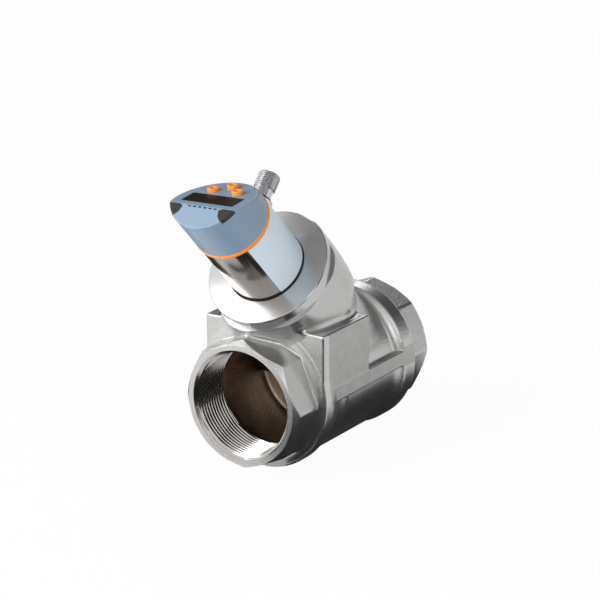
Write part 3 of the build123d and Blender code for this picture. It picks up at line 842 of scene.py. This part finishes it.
# %% [markdown]
# To draw the shape where its distance is zero, space is cut into small cubes. Each cube edge that the
# surface crosses gives a point and a normal there. Each crossed cube gets one vertex, where the planes
# through its crossings meet best, so that edges stay crisp, and each crossed edge gives one face
# between the four cubes around it. All of it is done on whole arrays.

# %% Dual contouring
pull_to_mean = 0.03
furthest_shift = 0.75
corner_share = 0.72


def slope_of(shape, points, step):
    """Unit normals: differences of the distance along each axis."""
    normals = np.empty_like(points)
    for axis in range(3):
        ahead, behind = points.copy(), points.copy()
        ahead[:, axis] += step
        behind[:, axis] -= step
        normals[:, axis] = shape(*ahead.T) - shape(*behind.T)
    return normals / np.maximum(np.linalg.norm(normals, axis=1, keepdims=True), 1e-9)


def crossing_points(shape, start, step_vector, at_start, at_end, tries=5):
    """Where the surface crosses each edge, by false position."""
    low, high = np.zeros(len(start)), np.ones(len(start))
    first = at_start < 0
    for _ in range(tries):
        share = low + (high - low) * np.clip(at_start / (at_start - at_end), 0.05, 0.95)
        value = shape(*(start + share[:, None] * step_vector).T)
        same = (value < 0) == first
        low, at_start = np.where(same, share, low), np.where(same, value, at_start)
        high, at_end = np.where(same, high, share), np.where(same, at_end, value)
    share = low + (high - low) * np.clip(at_start / (at_start - at_end), 0, 1)
    return start + share[:, None] * step_vector


def contour(shape, low, high, step):
    """Vertices and quads of the surface where shape is zero, in a box from low to high."""
    ticks = [np.arange(a, b + step, step) for a, b in zip(low, high)]
    field = shape(*np.meshgrid(*ticks, indexing="ij", sparse=True))
    inside = field < 0
    size = field.shape
    points, normals, cubes, outward = [], [], [], []
    for axis in range(3):
        here = tuple(slice(0, -1) if k == axis else slice(None) for k in range(3))
        there = tuple(slice(1, None) if k == axis else slice(None) for k in range(3))
        crossed = inside[here] != inside[there]
        index = np.argwhere(crossed)
        start = np.stack([ticks[k][index[:, k]] for k in range(3)], 1)
        along = np.eye(3)[axis] * step
        found = crossing_points(shape, start, along, field[here][crossed], field[there][crossed])
        points.append(found)
        normals.append(slope_of(shape, found, 0.02 * step))
        u, w = np.eye(3, dtype=int)[(axis + 1) % 3], np.eye(3, dtype=int)[(axis + 2) % 3]
        cubes.append(np.stack([index, index - u, index - u - w, index - w], 1))
        outward.append(inside[here][crossed])
    points, normals = np.concatenate(points), np.concatenate(normals)
    cubes, outward = np.concatenate(cubes), np.concatenate(outward)
    number = (cubes[..., 0] * size[1] + cubes[..., 1]) * size[2] + cubes[..., 2]
    used, owner = np.unique(number, return_inverse=True)
    quads = owner.reshape(number.shape)
    owner, count = quads.ravel(), len(used)
    near, facing = np.repeat(points, 4, 0), np.repeat(normals, 4, 0)
    total = np.bincount(owner, minlength=count)
    mean = np.stack([np.bincount(owner, near[:, k], count) for k in range(3)], 1) / total[:, None]
    height = (facing * (near - mean[owner])).sum(1)
    right = np.stack([np.bincount(owner, facing[:, k] * height, count) for k in range(3)], 1)
    left = np.empty((count, 3, 3))
    for a in range(3):
        for b in range(3):
            left[:, a, b] = np.bincount(owner, facing[:, a] * facing[:, b], count)
    left += pull_to_mean * total[:, None, None] * np.eye(3)
    shift = np.linalg.solve(left, right[..., None])[..., 0]
    vertices = mean + np.clip(shift, -furthest_shift * step, furthest_shift * step)
    return vertices, np.where(outward[:, None], quads, quads[:, ::-1])


def corner_normals(shape, vertices, quads, step):
    """The shape's own normals, taken a little inside each face corner, so that creases stay crisp."""
    corners = vertices[quads]
    inner = corner_share * corners + (1 - corner_share) * corners.mean(1, keepdims=True)
    return slope_of(shape, inner.reshape(-1, 3), 0.05 * step).reshape(corners.shape)


# %% [markdown]
# The body is contoured in two parts, because with cubes this small one mesh would have about 350,000
# triangles. Both parts end on the same plane across the pipe, and they take their normals from the
# distance itself, so that the shading runs on past the seam.

# %% The cast body
cell = 0.8
seam = 29.3
body_half_width = 42.3
body_heights = (-43.3, 93.5)
body_margin = 1.9
beyond = 200.0


def cast_part(name, v_low, v_high, replaced):
    """The part of the casting between two places along the pipe, as a piece."""
    def part(x, v, z):
        """The casting cut down to its share of the pipe."""
        return np.maximum(casting(x, v, z), slab(v, v_low, v_high))

    low = (-body_half_width, max(v_low, -inlet_length) - body_margin, body_heights[0])
    high = (body_half_width, min(v_high, outlet_length) + body_margin, body_heights[1])
    vertices, quads = contour(part, low, high, cell)
    normals = corner_normals(part, vertices, quads, cell)
    order = [0, 2, 1]
    points = place(vertices[:, order], pipe_axes)
    turned_normals = normals[..., order] @ pipe_axes
    make_piece(name, points, quads, cast_steel, "valve", replaced, normals=turned_normals)


cast_part("cast_body_outlet", seam, beyond, ("valve_body",))
cast_part("cast_body_inlet", -beyond, seam, ())

# %% [markdown]
# Both ends of the body carry a pipe thread, cut after casting, so it is bright between darker walls. A
# bump could fake it, but the mouth is seen from close by and the teeth must show in its outline. On a
# grid it is easy: around the bore the radius goes through one rounded tooth for each pitch of advance,
# and a whole turn advances by one pitch, which makes a helix.

# %% The pipe threads
thread_radius = 29.8
thread_pitch = 2.309
thread_depth = 1.478
thread_length = 27.0
thread_wall = 31.4
thread_inset = 0.15
lead_depth = 0.7
tail_depth = 0.6
tail_slope = 1.2


def tooth(turns):
    """Thread profile from 0 at the root to 1 at the crest: a triangle wave with both tips cut and rounded."""
    wave = np.abs(2 * (turns - np.floor(turns)) - 1)
    share = np.clip((wave - 0.14) / 0.72, 0, 1)
    return 0.35 * share * share * (3 - 2 * share) + 0.65 * share


def thread_ring(name, face, inward, columns=144, per_turn=12):
    """Ring with the thread on its bore; inward is the way along the pipe from the face into the body."""
    rows = int(thread_length / thread_pitch * per_turn)
    depth = np.linspace(thread_inset, thread_length, rows)[:, None]
    turn_share = np.arange(columns)[None, :] / columns
    radius = thread_radius - thread_depth * tooth(depth / thread_pitch - inward * turn_share)
    lead = thread_radius + lead_depth - (depth - thread_inset)
    tail = thread_radius + tail_depth - (thread_length - depth) * tail_slope
    radius = np.maximum(np.maximum(radius, lead), tail)
    depth = np.concatenate([depth, [[thread_length], [thread_inset]]])
    radius = np.concatenate([radius, np.full((2, columns), thread_wall)])
    angle = turn_share * 2 * math.pi
    height = face + inward * depth
    points = np.stack(np.broadcast_arrays(radius * np.cos(angle), radius * np.sin(angle), height), -1)
    along = np.arange(rows + 3) * (thread_length / rows) * MM
    uv = grid_uv(along, np.arange(columns + 1) / columns, rows + 2, columns, True, True)
    quads = grid_faces(rows + 2, columns, True, True)
    spots = place(points.reshape(-1, 3), pipe_axes)
    return make_piece(name, spots, quads, cut_thread, "valve", uv=uv)


thread_ring("outlet_thread", outlet_length, -1)
thread_ring("inlet_thread", -inlet_length, 1)

# %% [markdown]
# The bonnet that closes the arm, its black seal, the sleeve and the orange ring are round parts from a
# lathe. So each is made like there: an outline of radii and heights, rounded at its corners, and
# turned about the arm's axis. The bonnet's top falls a little towards its rim, so that its two halves
# mirror different parts of the studio. The foil is a patch of a cylinder that lies on the sleeve.

# %% Bonnet, seal, sleeve and ring
bonnet_top = 100.0
bonnet_radius = 34.4
cone_drop = 0.9
lip_radius, lip_bottom = 17.2, 90.0
shank_radius, shank_bore, shank_bottom = 26.9, 20.0, 70.0
seal_ring = (21.05, 100.45, 0.62)
sleeve_radius = 21.1
sleeve_wall = 1.2
sleeve_span = (100.8, 143.7)
housing_bottom = 146.3
housing_top = 174.6


def ring_section(centre, height, radius, steps=20):
    """Round section of a seal ring, walked clockwise."""
    angle = -np.arange(steps) * 2 * math.pi / steps
    return np.stack([centre + radius * np.cos(angle), height + radius * np.sin(angle)], 1)


def turned_piece(name, outline, material, body, replaced=(), axes=arm_axes, origin=crossing, columns=160):
    """Turned outline as a piece with its own coordinates along the outline and around the axis."""
    points, quads, uv = turned(outline, axes, origin, columns)
    weld = bool((np.asarray(outline)[:, 0] < 1e-6).any())
    return make_piece(name, points, quads, material, body, replaced, weld=weld, uv=uv)


bonnet_rim = bonnet_top - cone_drop
bonnet_seat = arm_top + 0.02
bonnet_outline = rounded([
    (lip_radius, bonnet_top, 0.3), (21.8, bonnet_top, 3.0), (bonnet_radius - 0.5, bonnet_rim, 0.3),
    (bonnet_radius, bonnet_rim - 0.6, 0.2), (bonnet_radius, bonnet_seat), (shank_radius, bonnet_seat),
    (shank_radius, shank_bottom, 0.8), (shank_bore, shank_bottom, 0.8), (shank_bore, lip_bottom),
    (lip_radius, lip_bottom),
], 6)
turned_piece("bonnet_ring", bonnet_outline, turned_ring, "valve", ("bonnet",), columns=192)
turned_piece("base_seal_ring", ring_section(*seal_ring), black_rubber, "head", ("base_seal",))
sleeve_inner = sleeve_radius - sleeve_wall
sleeve_outline = rounded([
    (sleeve_radius, sleeve_span[1]), (sleeve_radius, sleeve_span[0], 0.3),
    (sleeve_inner, sleeve_span[0], 0.3), (sleeve_inner, sleeve_span[1]),
], 4)
turned_piece("sleeve", sleeve_outline, drawn_sleeve, "head", ("sensor_sleeve",), columns=192)
accent_outline = rounded([
    (18.0, housing_bottom), (21.3, housing_bottom, 0.2), (21.6, 145.0, 1.2), (21.3, sleeve_span[1], 0.2),
    (18.0, sleeve_span[1]),
], 5)
turned_piece("orange_ring", accent_outline, orange_plastic, "head", ("accent_ring",), head_axes, columns=192)
foil_angles = (-42.0, 66.0)
foil_heights = (101.2, 143.5)
foil_front = sleeve_radius + 0.12
foil_back = sleeve_radius - 0.1


def foil(rows=12, columns=60):
    """Thin foil on the sleeve: a patch of the cylinder between two angles, with a back a hair deeper."""
    angle = np.linspace(*np.radians(foil_angles), columns)[None, :]
    height = np.linspace(*foil_heights, rows)[:, None]
    rings = []
    for radius, order in ((foil_front, 1), (foil_back, -1)):
        rings.append(np.broadcast_arrays(np.full((rows, columns), radius), angle, height[::order]))
    radius, angle, height = (np.concatenate([a[k] for a in rings]) for k in range(3))
    edge = np.full((2 * rows, 1), foil_back)
    radius = np.hstack([edge, radius, edge])
    angle = np.hstack([angle[:, :1], angle, angle[:, -1:]])
    height = np.hstack([height[:, :1], height, height[:, -1:]])
    points = np.stack([radius * np.cos(angle), radius * np.sin(angle), height], -1)
    quads = grid_faces(*radius.shape, True, False)
    spots = place(points.reshape(-1, 3), head_axes)
    return make_piece("foil", spots, quads, foil_face, "head", ("type_foil",))


foil()

# %% [markdown]
# The housing is a round cap cut by two planes that meet in a ridge: the front one is level, the back one
# slopes down and carries the display and the buttons. Two smoky lenses sit in its corners. Booleans
# could cut it, but they leave edges that no bevel rounds evenly. So cap and lenses are drawn by the
# same contouring as the body, with smaller cubes.

# %% Housing and lenses
housing_radius = 21.2
ridge_offset = 7.9
slope_angle = math.radians(40.5)
window_size = (31.5, 12.4)
window_start = 4.3
button_spots = ((-7.5, 22.0), (0.0, 29.3), (7.5, 22.0))
button_radius = 3.0
lens_corners = ((10.9, -9.2), (13.0, -8.05), (25.0, -8.05), (25.0, -15.1), (14.2, -15.1), (12.0, -12.9))
lens_depth = 2.4
lens_gap = 0.06
lens_inset = 0.02
window_depth = 1.0
button_gap = 0.15
button_depth = 3.5
housing_cell = 0.42
lens_cell = 0.3
slope_axis = -math.sin(slope_angle) * arm_axis + math.cos(slope_angle) * head_back
slope_normal = math.cos(slope_angle) * arm_axis + math.sin(slope_angle) * head_back
slope_axes = np.array([head_across, slope_axis, slope_normal])
ridge_middle = crossing - ridge_offset * head_back + housing_top * arm_axis


def on_slope(n, s):
    """Distance down the slope from the ridge, and height above the slope."""
    down = math.cos(slope_angle) * (n + ridge_offset) - math.sin(slope_angle) * (s - housing_top)
    above = math.cos(slope_angle) * (s - housing_top) + math.sin(slope_angle) * (n + ridge_offset)
    return down, above


def polygon(u, w, corners, edge):
    """Convex outline: the largest distance from its sides, which run clockwise seen from above."""
    shape = None
    for (u0, w0), (u1, w1) in zip(corners, corners[1:] + corners[:1]):
        length = math.hypot(u1 - u0, w1 - w0)
        side = ((w0 - w1) * (u - u0) + (u1 - u0) * (w - w0)) / length
        shape = side if shape is None else meet(shape, side, edge)
    return shape


def cap(u, n, s):
    """The cap's outer form: cylinder, level front and sloping back with rounded edges."""
    down, above = on_slope(n, s)
    tops = meet(s - housing_top, above, 0.5)
    wall = np.hypot(u, n) - housing_radius
    return np.maximum(meet(wall, tops, 0.7), housing_bottom - s)


def lens_prism(u, n, s):
    """Corner outline of both lenses, down to their depth."""
    return np.maximum(polygon(np.abs(u), n, list(lens_corners), 0.3), housing_top - lens_depth - s)


def housing(u, n, s):
    """Cap less the lens corners, the window's recess and the three button holes."""
    down, above = on_slope(n, s)
    half_width, half_length = window_size[0] / 2, window_size[1] / 2
    recess = np.maximum(np.abs(u) - half_width, np.abs(down - window_start - half_length) - half_length)
    cut = np.minimum(lens_prism(u, n, s) - lens_gap, np.maximum(recess, -window_depth - above))
    for across_at, down_at in button_spots:
        hole = np.hypot(u - across_at, down - down_at) - button_radius - button_gap
        cut = np.minimum(cut, np.maximum(hole, -button_depth - above))
    return np.maximum(cap(u, n, s), -cut)


def lens(u, n, s):
    """Both lenses: the cap's corners inside the outline, slightly rounded."""
    return meet(cap(u, n, s) + lens_inset, lens_prism(u, n, s), 0.25)


def contoured(name, shape, low, high, step, material, label):
    """Piece of the head where a shape in the head's axes is zero, in place of a node."""
    vertices, quads = contour(shape, low, high, step)
    normals = corner_normals(shape, vertices, quads, step) @ head_axes
    return make_piece(name, place(vertices, head_axes), quads, material, "head", (label,), normals=normals)


cap_box = ((-21.7, -21.7, 146.05), (21.8, 21.8, 175.2))
contoured("cap_housing", housing, *cap_box, housing_cell, housing_plastic, "display_housing")
for side, hand in ((1, "right"), (-1, "left")):
    inner, outer = sorted((side * 10.4, side * 21.9))
    lens_box = ((inner, -15.9, 171.6), (outer, -7.3, 175.0))
    contoured("smoky_" + hand, lens, *lens_box, lens_cell, smoky_lens, "status_lens_" + hand)

# %% [markdown]
# The window is a flat dark plate with rounded rims, and the small lights are six more such plates. Each
# button is a turned ring about a deep dimple, in which a near-black disc is painted shade. A plate could
# be a cube with a bevel, but a grid from the middle over the rim and under gives the same form with its
# sizes as values.

# %% Window, small lights and buttons
window_thick, window_edge, window_lift = 0.9, 0.12, 0.03
light_size, light_thick, light_edge, light_lift = (1.9, 0.85), 0.6, 0.06, 0.05
light_count, light_pitch, first_light, light_back = 6, 3.14, -6.96, 8.75
button_height = 2.0
rim_columns = 96


def plate(name, size, thick, edge, centre, axes, material, replaced=()):
    """Flat plate with rounded rims: rows of a superellipse, where the 24th powers of both sides add to 1."""
    around = np.arange(rim_columns) * 2 * math.pi / rim_columns
    cos, sin = np.cos(around), np.sin(around)
    power = 2 / 24.0
    rim_u, rim_w = np.sign(cos) * np.abs(cos) ** power, np.sign(sin) * np.abs(sin) ** power
    bevel = [(0.0, 0.0, -edge), (0.0, 0.3 * edge, -0.3 * edge), (0.0, edge, 0.0)]
    rows = [(1.0, 0.0, -thick), (0.0, 0.0, -thick), *bevel, (1.0, 0.0, 0.0)]
    points = []
    for inner, inset, level in rows:
        half_u, half_w = (1 - inner) * (size[0] / 2 - inset), (1 - inner) * (size[1] / 2 - inset)
        points.append(np.stack([half_u * rim_u, half_w * rim_w, np.full(rim_columns, level)], -1))
    quads = grid_faces(len(rows), rim_columns, False, True)
    spots = place(np.concatenate(points), axes, centre)
    return make_piece(name, spots, quads, material, "head", replaced, weld=True)


window_middle = (window_start + window_size[1] / 2) * slope_axis + window_lift * slope_normal
plate(
    "window_plate", window_size, window_thick, window_edge, ridge_middle + window_middle, slope_axes,
    window_glaze, ("display_window",),
)
for k in range(light_count):
    spot = [first_light + light_pitch * k, -light_back, housing_top + light_lift] @ head_axes + crossing
    stands_for = ("status_leds",) if k == 0 else ()
    plate(f"light_{k}", light_size, light_thick, light_edge, spot, head_axes, dark_light, stands_for)

button_outline = rounded([
    (0.0, -0.6), (1.4, -0.6, 0.25), (1.45, button_height, 0.4), (button_radius, button_height, 0.6),
    (button_radius, -1.2), (0.0, -1.2),
], 6)
# The dark disc in each button's dimple is painted shade, not a part of the button.
shade_disc_outline = [(0.0, 0.35), (1.36, 0.35), (1.36, 0.0), (0.0, 0.0)]
for (across_at, down_at), label in zip(button_spots, ("down_button", "set_button", "up_button")):
    centre = ridge_middle + across_at * head_across + down_at * slope_axis
    turned_piece("ring_" + label, button_outline, orange_plastic, label, (label,), slope_axes, centre, 64)
    turned_piece("shade_disc_" + label, shade_disc_outline, window_glaze, label, (), slope_axes, centre, 48)

# %% [markdown]
# The plug connector stands on the sleeve's back: a boss, a neck and a fine thread around the socket.
# It is one turned outline again, except that between the neck and the rim the radius follows the same
# tooth as the pipe's thread, with the angle added to the height so that the groove climbs.

# %% Connector
connector_height = 129.5
plug_radius = 6.0
plug_core = 5.9
plug_pitch = 1.2
plug_groove = 0.8
plug_span = (29.5, 38.5)
plug_row_gap = 0.1
connector_axes = np.array([head_across, -arm_axis, head_back])
connector_foot = crossing + connector_height * arm_axis


def connector(columns=72, per_turn=12):
    """Turned shell whose radius follows a helix of a good millimetre between the neck and the rim."""
    foot, rim = plug_span
    base = rounded([
        (4.4, 31.5), (4.4, rim, 0.3), (plug_core, rim), (plug_core, foot), (5.1, foot), (5.1, 23.2),
        (7.4, 23.2, 0.6), (7.4, 17.6), (4.4, 17.6),
    ], 5)
    first = int(np.argmax((np.abs(base[:, 0] - plug_core) < 1e-6) & (base[:, 1] > rim - 0.5)))
    rows = int((rim - foot) * per_turn)
    thread = np.stack([np.full(rows, plug_radius), np.linspace(rim - 0.2, foot + 0.1, rows)], 1)
    outline = np.concatenate([base[:first], thread, base[first + 2:]])
    share = np.arange(columns)[None, :] / columns
    radius = np.repeat(outline[:, :1], columns, 1)
    reach = outline[first:first + rows, 1:2]
    groove = plug_groove * (1 - tooth(reach / plug_pitch - share))
    chamfer = np.maximum(0, 0.5 - (rim - reach)) + np.maximum(0, 0.4 - (reach - foot))
    radius[first:first + rows] = plug_radius - np.maximum(groove, chamfer)
    angle, height = share * 2 * math.pi, outline[:, 1:2]
    points = np.stack(np.broadcast_arrays(radius * np.cos(angle), radius * np.sin(angle), height), -1)
    count = len(outline)
    along = np.arange(count + 1) * plug_row_gap * MM
    uv = grid_uv(along, np.arange(columns + 1) / columns, count, columns, True, True)
    spots = place(points.reshape(-1, 3), connector_axes, connector_foot)
    quads = grid_faces(count, columns, True, True)
    return make_piece("plug_shell", spots, quads, plug_nickel, "head", ("connector_shell",), uv=uv)


connector()

# %% [markdown]
# Inside the arm a wire spring presses the piston onto its seat. Blender's screw modifier could wind it
# with one pitch, but a real spring's pitch is small at both ends, where the coils lie on each other. So
# a round section is carried along a helix whose pitch fades there.

# %% Return spring
spring_radius = 15.5
spring_wire = 0.9
spring_turns = 7.0
spring_span = (20.75, 70.0)
end_pitch = 0.25
fade = (0.6, 1.3)


def spring(steps=420, around=12):
    """Wire swept along a helix: the height is the running sum of a pitch that fades at both ends."""
    share = np.linspace(0, 1, steps)
    turns = share * spring_turns
    last = (spring_turns - fade[1], spring_turns - fade[0])
    pitch = end_pitch + glide(turns, *fade, 0.0, 1.0) * glide(turns, *last, 1.0, 0.0)
    height = np.concatenate([[0], np.cumsum((pitch[1:] + pitch[:-1]) / 2)])
    free = spring_span[1] - spring_span[0] - 2 * spring_wire
    height = spring_span[0] + spring_wire + height / height[-1] * free
    angle = turns * 2 * math.pi
    radial = np.stack([np.cos(angle), np.sin(angle), 0 * angle], 1)
    centre = spring_radius * radial + np.stack([0 * angle, 0 * angle, height], 1)
    section = np.arange(around) * 2 * math.pi / around
    taper = np.full(steps, spring_wire)
    taper[[0, -1]] = 0.0
    rise = np.array([0.0, 0.0, 1.0])
    wire = np.cos(section)[None, :, None] * radial[:, None, :] + np.sin(section)[None, :, None] * rise
    points = centre[:, None, :] + taper[:, None, None] * wire
    quads = grid_faces(steps, around, False, True)
    return place(points.reshape(-1, 3), arm_axes), quads


points, quads = spring()
coil = make_piece("coil_spring", points, quads, spring_steel, "valve", ("return_spring",), weld=True)
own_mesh(coil)
